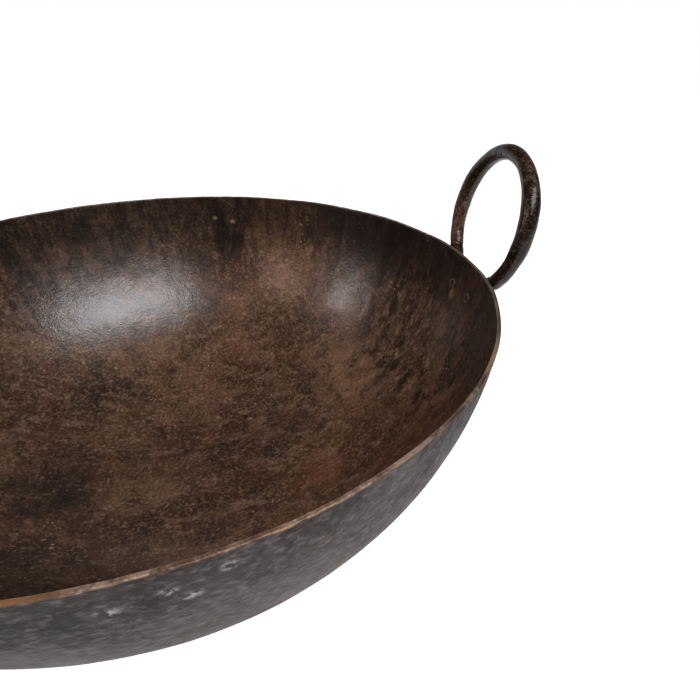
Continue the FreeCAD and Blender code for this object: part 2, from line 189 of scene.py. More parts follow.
@dataclass(frozen=True)
class Mottle(Pattern):
    """Uneven patches, blurred together or sharply bounded.

    Attributes:
        size_mm: Width of a patch.
        low: Level of the noise where a patch begins.
        high: Level where it is full.
        rough: How strong the finer edges are.
        stretch: How much longer than wide a patch is.
        flow: Way in which it is drawn out.
        seed: Which of the many like patterns.
    """

    size_mm: float
    low: float = 0.42
    high: float = 0.62
    rough: float = 0.6
    stretch: float = 1.0
    flow: Flow = Flow.EVEN
    seed: float = 0.0

    SWEEP_DEG = 28.0
    FINEST_MM = 0.8

    def mask(self, ground: Ground) -> Link:
        """Draw the patches from a noise, with finer and finer edges down to the finest.

        Args:
            ground: Coordinates that it is drawn on.

        Returns:
            What gives the mask.
        """
        detail = max(1.0, math.log2(self.size_mm / self.FINEST_MM))
        width, length = 1 / self.size_mm, 1 / (self.size_mm * self.stretch)
        scale, turn, place = (width, width, width), 0.0, ground.place
        if self.flow is Flow.SWEPT:
            scale, turn = (length, width, width), math.radians(self.SWEEP_DEG)
        elif self.flow is Flow.ROUND:
            scale, place = (length, length, width), ground.polar
        elif self.flow is Flow.DOWN:
            scale, place = (width, width, length), ground.polar
        mapped = add_node(ground.tree, "ShaderNodeMapping", {
            "Vector": place, "Rotation": (0.0, 0.0, turn), "Scale": scale})
        noise = add_node(ground.tree, "ShaderNodeTexNoise", {
            "Vector": mapped, "W": self.seed, "Scale": 1.0, "Detail": detail,
            "Roughness": self.rough}, noise_dimensions="4D")
        return add_node(ground.tree, "ShaderNodeMapRange", {
            0: noise, 1: self.low, 2: self.high}, interpolation_type="SMOOTHSTEP")


@dataclass(frozen=True)
class Spot(Pattern):
    """One patch at a known place, with an uneven edge.

    Attributes:
        centre_mm: Place of its middle.
        reach_mm: Where it has faded away, along X, Y and Z.
        core: Share of the reach that is full.
    """

    centre_mm: tuple[float, float, float]
    reach_mm: tuple[float, float, float]
    core: float = 0.4

    def mask(self, ground: Ground) -> Link:
        """Draw the patch from the distance to its middle.

        Args:
            ground: Coordinates that it is drawn on.

        Returns:
            What gives the mask.
        """
        back = tuple(-c / r for c, r in zip(self.centre_mm, self.reach_mm))
        mapped = add_node(ground.tree, "ShaderNodeMapping", {
            "Vector": ground.place, "Location": back,
            "Scale": tuple(1 / r for r in self.reach_mm)})
        away = add_node(ground.tree, "ShaderNodeVectorMath", {0: mapped}, operation="LENGTH")
        return add_node(ground.tree, "ShaderNodeMapRange", {
            0: away.outputs["Value"], 1: 1.0, 2: self.core}, interpolation_type="SMOOTHSTEP")


@dataclass(frozen=True)
class Edged(Pattern):
    """Something that comes in between two marks of a measure, with a ragged edge.

    Attributes:
        empty_mm: Measure at which it is not there.
        full_mm: Measure from which it is full.
        ragged_mm: How far its edge wanders.
        patch_mm: Length of the edge's waves.
    """

    empty_mm: float
    full_mm: float
    ragged_mm: float
    patch_mm: float

    DETAIL = 3.0

    @abstractmethod
    def measure(self, ground: Ground) -> Link:
        """Give what the marks are measured in, in millimetres."""

    def mask(self, ground: Ground) -> Link:
        """Draw the pattern from the measure, shifted to and fro by a noise.

        Args:
            ground: Coordinates that it is drawn on.

        Returns:
            What gives the mask.
        """
        noise = add_node(ground.tree, "ShaderNodeTexNoise", {
            "Vector": ground.place, "Scale": 1 / self.patch_mm, "Detail": self.DETAIL})
        middle = add_node(ground.tree, "ShaderNodeMath", {0: noise, 1: 0.5}, operation="SUBTRACT")
        level = add_node(ground.tree, "ShaderNodeMath", {
            0: middle, 1: 2 * self.ragged_mm, 2: self.measure(ground)}, operation="MULTIPLY_ADD")
        return add_node(ground.tree, "ShaderNodeMapRange", {
            0: level, 1: self.empty_mm, 2: self.full_mm}, interpolation_type="SMOOTHSTEP")


@dataclass(frozen=True)
class Band(Edged):
    """Pattern between two heights."""

    def measure(self, ground: Ground) -> Link:
        """Give the height above the flat spot."""
        return ground.height


@dataclass(frozen=True)
class Reach(Edged):
    """Pattern between two distances that an attribute of the piece keeps.

    Attributes:
        attribute: Name of the attribute.
    """

    attribute: str

    DETAIL = 4.0

    def measure(self, ground: Ground) -> Link:
        """Give the distance in the attribute."""
        away = add_node(ground.tree, "ShaderNodeAttribute", attribute_name=self.attribute)
        return away.outputs["Fac"]


@dataclass(frozen=True)
class Both(Pattern):
    """A pattern that shows only within another."""

    one: Pattern
    other: Pattern

    def mask(self, ground: Ground) -> Link:
        """Multiply the two masks."""
        return add_node(ground.tree, "ShaderNodeMath", {
            0: self.one.mask(ground), 1: self.other.mask(ground)}, operation="MULTIPLY")


# Finishes: the iron's surfaces.


@dataclass(frozen=True)
class Layer:
    """One colour that lies over what is under it.

    Attributes:
        colour: sRGB hex value.
        pattern: Where it lies.
        strength: How much it covers where it is full.
    """

    colour: str
    pattern: Pattern
    strength: float = 1.0


@dataclass(frozen=True)
class Relief:
    """Fine height in the surface.

    Attributes:
        pattern: Where it stands up.
        height_mm: How high.
    """

    pattern: Pattern
    height_mm: float


@dataclass(frozen=True)
class Gloss:
    """Change of roughness over the surface.

    Attributes:
        roughness: Roughness where the pattern is full.
        pattern: Where it is.
    """

    roughness: float
    pattern: Pattern


@dataclass(frozen=True)
class IronFinish:
    """Surface of worked iron, made of layers of colour, gloss and relief.

    Attributes:
        name: Name of the material.
        base: sRGB hex value under all layers.
        layers: Colours, from the lowest up.
        roughness: Roughness where no pattern is.
        gloss: Changes of roughness.
        relief: Fine heights.
        metallic: How much of it is bare metal to the eye.
        coat: Weight of the thin clear film of oil.
        coat_roughness: Roughness of the film.
        edge: sRGB hex value that tints what the metal mirrors at a flat angle.
        mirror: How strongly the skin over the metal mirrors, where plain paint has a half.
    """

    name: str
    base: str
    layers: tuple[Layer, ...]
    roughness: float
    gloss: tuple[Gloss, ...]
    relief: tuple[Relief, ...]
    metallic: float = 1.0
    coat: float = 0.0
    coat_roughness: float = 0.3
    edge: str = "#FFFFFF"
    mirror: float = 0.5

    def material(self) -> bpy.types.Material:
        """Make the material.

        Returns:
            The material with its node tree.
        """
        made = bpy.data.materials.new(self.name)
        made.use_nodes = True
        tree = made.node_tree
        tree.nodes.clear()
        ground = Ground.on(tree)
        normal = self._normal(ground)
        shader = add_node(tree, "ShaderNodeBsdfPrincipled", {
            "Base Color": self._colour(ground), "Metallic": self.metallic,
            "Roughness": self._roughness(ground), "Normal": normal,
            "Specular IOR Level": self.mirror, "Specular Tint": linear(self.edge),
            "Coat Weight": self.coat, "Coat Roughness": self.coat_roughness,
            "Coat Normal": normal})
        add_node(tree, "ShaderNodeOutputMaterial", {"Surface": shader})
        return made

    def _colour(self, ground: Ground) -> Link:
        """Lay the colours over each other.

        Args:
            ground: Coordinates that the patterns are drawn on.

        Returns:
            What gives the colour.
        """
        below: Setting = linear(self.base)
        for layer in self.layers:
            share = add_node(ground.tree, "ShaderNodeMath", {
                0: layer.pattern.mask(ground), 1: layer.strength}, operation="MULTIPLY")
            mixed = add_node(ground.tree, "ShaderNodeMix", {
                0: share, 6: below, 7: linear(layer.colour)}, data_type="RGBA")
            below = mixed.outputs[2]
        return below

    def _roughness(self, ground: Ground) -> Link:
        """Lay the changes of roughness over each other.

        Args:
            ground: Coordinates that the patterns are drawn on.

        Returns:
            What gives the roughness.
        """
        below: Setting = self.roughness
        for gloss in self.gloss:
            below = add_node(ground.tree, "ShaderNodeMix", {
                0: gloss.pattern.mask(ground), 2: below, 3: gloss.roughness})
        return below

    def _normal(self, ground: Ground) -> Link:
        """Add up the heights and turn them into a normal.

        Args:
            ground: Coordinates that the patterns are drawn on.

        Returns:
            What gives the normal.
        """
        height: Setting = 0.0
        for relief in self.relief:
            mask = relief.pattern.mask(ground)
            height = add_node(ground.tree, "ShaderNodeMath", {
                0: mask, 1: relief.height_mm, 2: height}, operation="MULTIPLY_ADD")
        bump = add_node(ground.tree, "ShaderNodeBump", {"Height": height, "Distance": MM})
        return bump.outputs["Normal"]


BELOW_RIM = "below_rim_mm"
FROM_AXIS = "from_axis_mm"
EDGE_PATCH_MM = 6.0

# The rim is rubbed down to bare iron, which shows as a thin tan line round the bowl.
BARE_RIM = Reach(1.0, 0.4, 0.5, EDGE_PATCH_MM, BELOW_RIM)
RIM_LAYERS = (
    Layer("#5A4233", BARE_RIM, 0.9),
    # The lighter and golden patches are bare iron with painted highlight added where the rounded
    # edge catches the light.
    Layer("#9C8270", BARE_RIM & Mottle(16, 0.42, 0.60, 0.70, seed=31), 0.75),
    Layer("#CBA47C", BARE_RIM & Mottle(60, 0.50, 0.60, 0.65, seed=34), 0.5),
    Layer("#D8C6B4", BARE_RIM & Mottle(9, 0.62, 0.68, seed=35), 0.4),
    Layer("#2E2018", BARE_RIM & Mottle(7, 0.54, 0.64, 0.65, seed=33), 0.5),
    # Golden spot at the front left: bare iron with painted highlight on the rounded edge.
    Layer("#A87850", BARE_RIM & Spot((-12, -249, 188), (26, 20, 20), 0.2), 0.42),
    Layer("#3A281E", BARE_RIM & Spot((-40, 270, 188), (350, 200, 60), 0.6), 0.85),
    Layer("#46321F", BARE_RIM & Spot((262, -30, 188), (170, 210, 60), 0.4), 0.66),
)

# Seasoned sheet iron, hammered smooth inside: cooked oil over the metal gives a mottled brown
# with a soft sheen, a fine grain and tiny bright specks where the metal shows through. The true
# grain is finer than a pixel, so the finest marks are drawn about 2 mm wide.
SEASONED_INSIDE = IronFinish(
    name="seasoned_sheet_iron_inside",
    base="#4A3122",
    layers=(
        Layer("#73523C", Mottle(75, 0.44, 0.58, 0.68, seed=1), 0.85),
        Layer("#281B19", Mottle(85, 0.48, 0.64, 0.70, 1.8, Flow.SWEPT, seed=2), 0.68),
        Layer("#6A3E2C", Mottle(60, 0.52, 0.66, 0.70, seed=4), 0.4),
        Layer("#1C120D", Mottle(17, 0.48, 0.62, 0.76, seed=5), 0.56),
        Layer("#93705A", Mottle(12, 0.50, 0.64, 0.76, 2, Flow.SWEPT, seed=3), 0.5),
        Layer("#A98868", Mottle(3.2, 0.46, 0.74, 0.75, seed=7), 0.5),
        Layer("#130B07", Mottle(2.6, 0.36, 0.66, 0.75, seed=8), 0.55),
        Layer("#1E1514", Mottle(30, 0.34, 0.54, 0.76, 2, Flow.SWEPT, seed=23)
              & Spot((75, 38, 8), (70, 40, 30), 0.3), 0.24),
        Layer("#1E1514", Mottle(26, 0.36, 0.54, 0.76, seed=24)
              & Spot((-110, -20, 12), (60, 65, 40), 0.3), 0.6),
        Layer("#7E4C36", Mottle(14, 0.38, 0.56, 0.76, seed=25)
              & Spot((115, -43, 16), (42, 38, 30), 0.1), 0.35),
        Layer("#946F54", Mottle(15, 0.40, 0.56, 0.80, 1.5, Flow.SWEPT, seed=26)
              & Spot((158, 62, 52), (62, 70, 50), 0.3), 0.44),
        # Painted sheen: grey over the far left wall round the large highlight, as the highlight's
        # grey halo.
        Layer("#4E4644", Mottle(20, 0.34, 0.54, 0.7, seed=27)
              & Spot((-85, 195, 95), (150, 75, 75), 0.4), 0.65),
        # Painted shade: darker inside the near wall and on the left of the floor beside it, where
        # the near wall keeps the main lamp off.
        Layer("#150D09", Spot((-90, -150, 60), (230, 135, 95), 0.2), 0.65),
        Layer("#100906", Mottle(9, 0.48, 0.58, 0.76, 3, Flow.DOWN, seed=15)
              & Band(50, 120, 20, 30), 0.55),
        Layer("#100906", Mottle(15, 0.46, 0.58, 0.78, 2, Flow.DOWN, seed=22)
              & Spot((240, 20, 115), (110, 170, 110), 0.5), 0.92),
        Layer("#B08A6A", Mottle(7, 0.54, 0.60, 0.82, 2, Flow.DOWN, seed=19)
              & Spot((225, 20, 105), (95, 130, 75), 0.4), 0.32),
        Layer("#0D0705", Band(115, 175, 22, 34), 0.62),
        Layer("#0D0705", Mottle(14, 0.46, 0.58, 0.72, 4, Flow.DOWN, seed=6)
              & Band(112, 150, 14, 30), 0.5),
        Layer("#0B0604", Mottle(20, 0.34, 0.52, 0.76, 3, Flow.DOWN, seed=16)
              & Spot((205, 125, 165), (80, 85, 50), 0.3), 0.8),
        Layer("#0B0604", Mottle(12, 0.38, 0.54, 0.74, 4, Flow.DOWN, seed=17)
              & Spot((48, 228, 150), (34, 28, 50), 0.4), 0.85),
        Layer("#D2BC98", Mottle(2.2, 0.64, 0.70, seed=9) & Mottle(50, 0.54, 0.62, seed=18), 0.6),
        Layer("#8E6A46", Spot((240.6, 12.5, 154.5), (9, 6, 8), 0.2)
              & Mottle(3, 0.30, 0.50, 0.7, seed=10), 0.75),
        Layer("#6A2E1C", Spot((247, -14, 180), (12, 14, 12))
              & Mottle(4, 0.40, 0.60, 0.7, seed=20), 0.5),
        Layer("#B09274", Spot((35.7, 241.1, 163.9), (4.0, 4.0, 3.5), 0.1), 0.45),
        Layer("#B09274", Spot((55.5, 236.5, 160.4), (4.5, 4.5, 3.5), 0.1), 0.5),
        Layer("#0D0806", Spot((-91.4, 173.7, 68.5), (5, 5, 5), 0.5), 1.0),
        *RIM_LAYERS,
    ),
    roughness=0.50,
    gloss=(
        Gloss(0.64, Mottle(40, 0.42, 0.62, 0.7, seed=11)),
        Gloss(0.42, Mottle(4, 0.52, 0.66, seed=12)),
        Gloss(0.42, BARE_RIM),
    ),
    relief=(
        Relief(Mottle(1.8, 0.3, 0.7, 0.7, seed=13), 0.05),
        Relief(Mottle(3.4, 0.3, 0.7, 0.6, seed=21), 0.045),
        Relief(Mottle(9, 0.3, 0.7, 0.5, seed=14), 0.07),
    ),
    metallic=0.3,
    coat=1.0,
    coat_roughness=0.26,
    edge="#A08C7C",
)

# The same sheet outside, blackened by fire and rubbed to graphite grey by handling: cloudy,
# with fine lines along the hammering and a few whitish scuffs.
SMOKED_OUTSIDE = IronFinish(
    name="smoked_sheet_iron_outside",
    base="#504949",
    layers=(
        Layer("#645E5E", Mottle(48, 0.40, 0.62, 0.68, 1.4, Flow.ROUND, seed=41), 0.55),
        Layer("#221E1F", Mottle(30, 0.48, 0.66, 0.72, 1.4, Flow.ROUND, seed=42), 0.4),
        Layer("#473A2E", Mottle(55, 0.50, 0.60, 0.74, seed=43), 0.5),
        Layer("#5A5B62", Mottle(80, 0.50, 0.60, 0.65, seed=44), 0.4),
        Layer("#1B1A1D", Band(140, 176, 24, 45) & Mottle(70, 0.36, 0.56, seed=54), 0.6),
        Layer("#262324", Spot((-30, -245, 165), (110, 70, 45), 0.2), 0.68),
        Layer("#928C8A", Mottle(3.0, 0.44, 0.74, 0.75, 1.6, Flow.ROUND, seed=45), 0.36),
        Layer("#0E0C0D", Mottle(2.6, 0.40, 0.70, 0.75, 1.6, Flow.ROUND, seed=46), 0.38),
        *(Layer("#D5D0CC", Spot(place, (6, 6, 4), 0.0) & Mottle(4, 0.46, 0.60, 0.8, seed=47), 0.6)
          for place in ((37.8, -245.3, 174.5), (18.2, -246.9, 170.8),
                        (45.1, -242.6, 166.6), (60, -241.6, 178))),
        Layer("#9A9694", Mottle(5, 0.56, 0.68, 0.8, seed=49)
              & Mottle(50, 0.56, 0.64, seed=48), 0.36),
        *RIM_LAYERS,
    ),
    roughness=0.50,
    gloss=(
        Gloss(0.64, Mottle(34, 0.42, 0.60, 0.7, seed=50)),
        Gloss(0.42, Mottle(3, 0.55, 0.70, 0.6, 2, Flow.ROUND, seed=51)),
        Gloss(0.42, BARE_RIM),
    ),
    relief=(
        Relief(Mottle(2.0, 0.3, 0.7, seed=52), 0.09),
        Relief(Mottle(9, 0.3, 0.7, 0.65, seed=53), 0.18),
    ),
    metallic=0.5,
    edge="#96908C",
    mirror=0.4,
)

# Forged round bar, dark from the fire and polished brown where hands take it.
FORGED_BAR = IronFinish(
    name="forged_bar_iron",
    base="#1C130F",
    layers=(
        Layer("#48311F", Mottle(20, 0.46, 0.62, 0.70, seed=61), 0.65),
        Layer("#0B0706", Mottle(9, 0.48, 0.58, 0.75, seed=63), 0.7),
        Layer("#5E4636", Mottle(6, 0.54, 0.70, 0.72, seed=62), 0.4),
        Layer("#80604A", Spot((256, 47, 206), (22, 16, 34), 0.4)
              & Mottle(5, 0.38, 0.58, 0.72, seed=70), 0.6),
        Layer("#80664C", Spot((268, -30, 258), (16, 26, 24), 0.3)
              & Mottle(4, 0.42, 0.66, 0.70, seed=75), 0.36),
        Layer("#55281A", Band(204, 188, 5, 8) & Mottle(8, 0.50, 0.62, 0.7, seed=65), 0.5),
        Layer("#A58D74", Mottle(2.0, 0.52, 0.74, 0.75, seed=64), 0.22),
        Layer("#060403", Mottle(1.8, 0.40, 0.62, 0.75, seed=69), 0.6),
    ),
    roughness=0.46,
    gloss=(
        Gloss(0.58, Mottle(8, 0.44, 0.60, 0.7, seed=66)),
    ),
    relief=(
        Relief(Mottle(1.8, 0.3, 0.7, seed=67), 0.06),
        Relief(Mottle(5, 0.3, 0.7, seed=68), 0.12),
    ),
    metallic=0.2,
    coat=0.45,
    coat_roughness=0.22,
    edge="#4E4038",
    mirror=0.15,
)

# Soft iron rivets: a dark centre in a pale ring.
RIVET_IRON = IronFinish(
    name="hammered_rivet_iron",
    base="#241812",
    layers=(
        Layer("#8A6C54", Reach(1.9, 2.7, 0.5, EDGE_PATCH_MM, FROM_AXIS)
              & Reach(4.6, 4.0, 0.4, EDGE_PATCH_MM, FROM_AXIS), 0.7),
        Layer("#3A281D", Mottle(3, 0.48, 0.60, 0.7, seed=71), 0.6),
        Layer("#120C0A", Mottle(1.6, 0.54, 0.66, seed=72), 0.6),
        Layer("#0A0605", Reach(2.5, 2.0, 0.3, EDGE_PATCH_MM, FROM_AXIS), 0.95),
    ),
    roughness=0.45,
    gloss=(
        Gloss(0.6, Mottle(3, 0.45, 0.6, seed=73)),
    ),
    relief=(
        Relief(Mottle(1.2, 0.3, 0.7, seed=74), 0.06),
    ),
    metallic=0.4,
    coat=0.3,
)


# Geometry trees: the shapes that follow a rule.


@dataclass
class ShapeTree:
    """Geometry tree whose sizes are named inputs.

    Attributes:
        name: Name of the tree.
        sizes: Name and value of each input.
    """

    name: str
    sizes: dict[str, Setting]

    SOCKETS = {float: "NodeSocketFloat", int: "NodeSocketInt",
               bpy.types.Material: "NodeSocketMaterial", bpy.types.Object: "NodeSocketObject"}
    SHALLOW, DEEPEST = 0.25, 0.75

    def __post_init__(self) -> None:
        """Make the tree with its inputs and its geometry in and out."""
        self.tree = bpy.data.node_groups.new(self.name, "GeometryNodeTree")
        face = self.tree.interface
        face.new_socket("Geometry", in_out="INPUT", socket_type="NodeSocketGeometry")
        face.new_socket("Geometry", in_out="OUTPUT", socket_type="NodeSocketGeometry")
        self.keys = {name: face.new_socket(name, in_out="INPUT",
                                           socket_type=self.SOCKETS[type(value)]).identifier
                     for name, value in self.sizes.items()}
        self.given = self.add("NodeGroupInput").outputs

    def add(self, kind: str, inputs: dict[int | str, Setting] | None = None,
            **settings: Setting) -> Node:
        """Add a node to this tree."""
        return add_node(self.tree, kind, inputs, **settings)

    def dents(self, name: str, seed: float, power: float = 1.0) -> Link:
        """Draw smooth dents over the surface, as wide and as deep as two inputs say.

        Args:
            name: First word of the two inputs.
            seed: Which of the many like patterns.
            power: How much the deepest stand out.

        Returns:
            What gives the depth.
        """
        place = self.add("GeometryNodeInputPosition")
        whole = self.add("ShaderNodeMath", {0: self.given["Seed"], 1: seed}, operation="ADD")
        scale = self.add("ShaderNodeMath", {
            0: 1.0, 1: self.given[f"{name} size"]}, operation="DIVIDE")
        noise = self.add("ShaderNodeTexNoise", {
            "Vector": place, "W": whole, "Scale": scale, "Detail": 1.0}, noise_dimensions="4D")
        share = self.add("ShaderNodeMapRange", {0: noise, 1: self.SHALLOW, 2: self.DEEPEST})
        bite = self.add("ShaderNodeMath", {0: share, 1: power}, operation="POWER")
        return self.add("ShaderNodeMath", {
            0: bite, 1: self.given[f"{name} depth"]}, operation="MULTIPLY")

    def moved_out(self, geometry: Link, distance: Link) -> Link:
        """Move a surface along its normal.

        Args:
            geometry: The surface.
            distance: How far each point goes.

        Returns:
            The moved surface.
        """
        normal = self.add("GeometryNodeInputNormal")
        offset = self.add("ShaderNodeVectorMath", {0: normal, 3: distance}, operation="SCALE")
        return self.add("GeometryNodeSetPosition", {"Geometry": geometry, "Offset": offset})

    def end(self, geometry: Link, *dressing: tuple[Setting, Setting]) -> None:
        """Realize the instances, set the materials and close the tree.

        Args:
            geometry: The finished shape.
            *dressing: Material and the faces that get it.
        """
        shape = self.add("GeometryNodeRealizeInstances", {0: geometry})
        for material, faces in dressing:
            shape = self.add("GeometryNodeSetMaterial", {
                "Geometry": shape, "Selection": faces, "Material": material})
        self.add("NodeGroupOutput", {0: shape})

    def apply(self, thing: bpy.types.Object) -> bpy.types.Object:
        """Run the tree on an object and keep the result as its plain mesh.

        Args:
            thing: Object whose mesh goes in.

        Returns:
            The same object with the new mesh.
        """
        modifier = thing.modifiers.new(self.name, "NODES")
        modifier.node_group = self.tree
        for name, value in self.sizes.items():
            modifier[self.keys[name]] = value
        return made_plain(thing)


def made_plain(thing: bpy.types.Object) -> bpy.types.Object:
    """Turn the result of an object's modifiers into its plain mesh.

    Args:
        thing: Object with modifiers.

    Returns:
        The same object, without them.
    """
    seen = thing.evaluated_get(bpy.context.evaluated_depsgraph_get())
    mesh = bpy.data.meshes.new_from_object(seen)
    thing.modifiers.clear()
    thing.data = mesh
    mesh.name = thing.name
    return thing


def placed_in_scene(name: str, mesh: bpy.types.Mesh) -> bpy.types.Object:
    """Put a mesh in the scene at the origin.

    Args:
        name: Name of the object.
        mesh: Its mesh.

    Returns:
        The object.
    """
    thing = bpy.data.objects.new(name, mesh)
    bpy.context.scene.collection.objects.link(thing)
    return thing


def merged_copy(node: str, name: str) -> bpy.types.Object:
    """Copy a solid's mesh and join its loose triangles.

    Args:
        node: Name of the solid's node.
        name: Name of the new piece.

    Returns:
        The new object.
    """
    work = bmesh.new()
    work.from_mesh(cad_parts[node].data)
    bmesh.ops.remove_doubles(work, verts=work.verts, dist=SAME_PLACE)
    mesh = bpy.data.meshes.new(name)
    work.to_mesh(mesh)
    work.free()
    mesh.materials.clear()
    return placed_in_scene(name, mesh)


def dress(piece: bpy.types.Object, slot: str, *nodes: str) -> None:
    """Let a finished piece ride on the body, in place of its solids.

    Args:
        piece: The finished piece.
        slot: Not used.
        *nodes: Solids that it stands for.
    """
    piece.data.shade_smooth()
    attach(piece, BODY)
    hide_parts(*nodes)
    faces = sum(len(p.vertices) - 2 for p in piece.data.polygons)
    LOG.info("%s stands for %s with %d triangles", piece.name, ", ".join(nodes), faces)


# The sub-assemblies.


@dataclass(frozen=True)
class Station:
    """Point of the wall's section.

    Attributes:
        radius: Distance from the axis.
        height: Height above the flat spot.
        lean: Angle of the wall's outward normal above level, in radians.
        inside: Whether it lies on the inner face.
    """

    radius: float
    height: float
    lean: float
    inside: bool


@dataclass
class BowlWall:
    """The one sheet of the bowl, raised by the hammer from a flat disc.

    Its section is a side arc that passes into a bottom arc at the knee, as in the solid.
    """

    rim_radius: float = 0.250
    height: float = 0.188
    base_radius: float = 0.050
    thickness: float = 0.0025
    rim_lean_deg: float = 5.7
    knee_lean_deg: float = 32.0
    rounding: float = 0.0008
    rivet_drop: float = 0.026
    rivet_spacing: float = 0.0316
    leg_spacing: float = 0.0814
    segments: int = 600
    floor_steps: int = 6
    bottom_steps: int = 33
    side_steps: int = 25
    edge_steps: int = 3
    held_near: float = 0.014
    held_far: float = 0.045
    foot_fade: float = 0.040
    rim_fade: float = 0.012
    wave_size: float = 0.150
    wave_depth: float = 0.0009
    mark_size: float = 0.026
    mark_depth: float = 0.00035
    rim_wave: float = 0.060
    rim_depth: float = 0.0010
    nick_size: float = 0.007
    nick_depth: float = 0.0005
    seed: int = 4

    def __post_init__(self) -> None:
        """Work out the two arcs of the section from the span and height that they cover."""
        rim, knee = math.radians(self.rim_lean_deg), math.radians(self.knee_lean_deg)
        span = self.rim_radius - self.base_radius
        run, fall = math.cos(rim) - math.cos(knee), math.sin(knee) - math.sin(rim)
        rest = 1 - math.sin(knee)
        cross = run * rest - math.cos(knee) * fall
        self.side_arc = (span * rest - self.height * math.cos(knee)) / cross
        self.bottom_arc = (run * self.height - fall * span) / cross
        self.side_x = self.rim_radius - self.side_arc * math.cos(rim)
        self.side_z = self.height + self.side_arc * math.sin(rim)
        self.rivet_lean = math.asin(math.sin(rim) + self.rivet_drop / self.side_arc)
        self.rivet_radius = self.side_x + self.side_arc * math.cos(self.rivet_lean)
        self.rivet_turn = math.asin(self.rivet_spacing / 2 / self.rivet_radius)

    def rivet_frames(self) -> list[Matrix]:
        """Place the rivets on the outer face.

        Returns:
            The frame of each, with x outwards along the rivet.
        """
        height = self.height - self.rivet_drop
        on_wall = (Matrix.Translation((self.rivet_radius, 0, height))
                   @ Matrix.Rotation(self.rivet_lean, 4, "Y"))
        turns = [base + side * self.rivet_turn for base in (0, math.pi) for side in (1, -1)]
        return [Matrix.Rotation(turn, 4, "Z") @ on_wall for turn in turns]

    def section(self) -> list[Station]:
        """Trace the wall's section.

        Returns:
            Its points from the flat spot outside, over the rim, to the floor.
        """
        knee = -math.radians(self.knee_lean_deg)
        down = -math.pi / 2
        path: list[Station] = []
        for inside, depth in ((False, 0.0), (True, self.thickness)):
            inset = self.rounding if not inside else self.thickness - self.rounding
            edge_z = self.height - self.rounding
            edge = math.asin((edge_z - self.side_z) / (self.side_arc - inset))
            edge_x = self.side_x + (self.side_arc - inset) * math.cos(edge)
            face = [Station(self.base_radius * i / self.floor_steps, depth, down, inside)
                    for i in range(self.floor_steps)]
            for steps, start, stop, centre_x, centre_z, arc in (
                    (self.bottom_steps, down, knee, self.base_radius, self.bottom_arc,
                     self.bottom_arc - depth),
                    (self.side_steps, knee, edge, self.side_x, self.side_z,
                     self.side_arc - depth)):
                for i in range(steps):
                    lean = start + (stop - start) * i / steps
                    face.append(Station(centre_x + arc * math.cos(lean),
                                        centre_z + arc * math.sin(lean), lean, inside))
            first, last = (edge, math.pi / 2) if not inside else (math.pi + edge, math.pi / 2)
            for i in range(self.edge_steps + 1):
                around = first + (last - first) * i / self.edge_steps
                face.append(Station(edge_x + self.rounding * math.cos(around),
                                    edge_z + self.rounding * math.sin(around), edge, inside))
            path += face if not inside else face[::-1]
        return path

    def freedom(self, place: Vector) -> float:
        """Say how freely the hammer moved the wall: not at the foot, rivets or handle legs.

        Args:
            place: Point of the wall.

        Returns:
            Share from 0 to 1.
        """
        held = [m.translation for m in self.rivet_frames()]
        held += [Vector((x, y, self.height)) for x in (self.rim_radius, -self.rim_radius)
                 for y in (self.leg_spacing / 2, -self.leg_spacing / 2)]
        nearest = min((place - h).length for h in held)
        foot = smoothstep(self.base_radius, self.base_radius + self.foot_fade, place.xy.length)
        return smoothstep(self.held_near, self.held_far, nearest) * foot

    def smooth_mesh(self) -> bpy.types.Mesh:
        """Turn the section round the axis, with the attributes that the hammering reads.

        Returns:
            Closed mesh with one vertex at each pole.
        """
        path = self.section()
        work = bmesh.new()
        inwards = work.verts.layers.float_vector.new("inwards")
        down = work.verts.layers.float_vector.new("down")
        below = work.verts.layers.float.new(BELOW_RIM)
        inner = work.faces.layers.float.new("inside")
        rings: list[list[bmesh.types.BMVert]] = []
        for station in path:
            count = 1 if station.radius == 0 else self.segments
            ring = []
            for j in range(count):
                turn = 2 * math.pi * j / self.segments
                vert = work.verts.new((station.radius * math.cos(turn),
                                       station.radius * math.sin(turn), station.height))
                free = self.freedom(vert.co)
                vert[inwards] = (-free * math.cos(station.lean) * math.cos(turn),
                                 -free * math.cos(station.lean) * math.sin(turn),
                                 -free * math.sin(station.lean))
                vert[down] = (0.0, 0.0, -free * smoothstep(self.height - self.rim_fade,
                                                           self.height, station.height))
                vert[below] = (self.height - station.height) / MM
                ring.append(vert)
            rings.append(ring)
        for station, low, high in zip(path[1:], rings, rings[1:]):
            for j in range(self.segments):
                k = (j + 1) % self.segments
                corners = [low[j % len(low)], low[k % len(low)], high[k % len(high)],
                           high[j % len(high)]]
                face = work.faces.new(list(dict.fromkeys(corners)))
                face[inner] = float(station.inside)
        mesh = bpy.data.meshes.new("bowl_wall")
        work.to_mesh(mesh)
        work.free()
        return mesh

